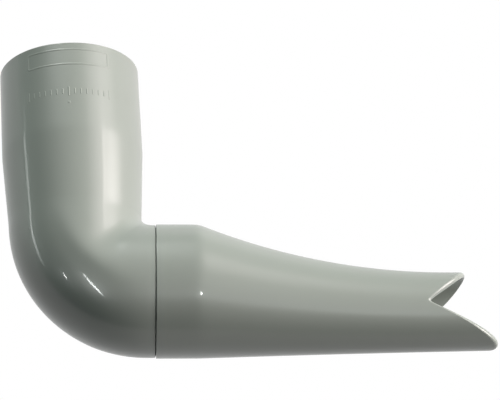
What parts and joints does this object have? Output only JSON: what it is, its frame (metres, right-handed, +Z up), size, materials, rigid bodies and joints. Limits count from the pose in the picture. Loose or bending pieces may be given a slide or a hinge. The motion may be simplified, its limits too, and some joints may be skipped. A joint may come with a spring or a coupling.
{
  "type": "rainwater spout",
  "caption": "Rainwater spout: a plastic pipe elbow with a socket on top and a tapering fish-mouth outlet pushed on its lower end.",
  "frame": {"origin": "centre of the socket's mouth, in the plane of its rim", "axes": "+Z up along the downpipe that enters the socket, +X the way the spout points (its axis dips 3 degrees below +X), +Y to the left of someone looking along the spout"},
  "size_m": [0.1921, 0.057, 0.1291],
  "materials": {
    "grey_pvc_elbow": "moulded, semi-gloss",
    "grey_pvc_spout": "moulded, semi-gloss"
  },
  "bodies": {
    "root": {"elbow": "grey_pvc_elbow", "spout": "grey_pvc_spout"}
  },
  "joints": []
}
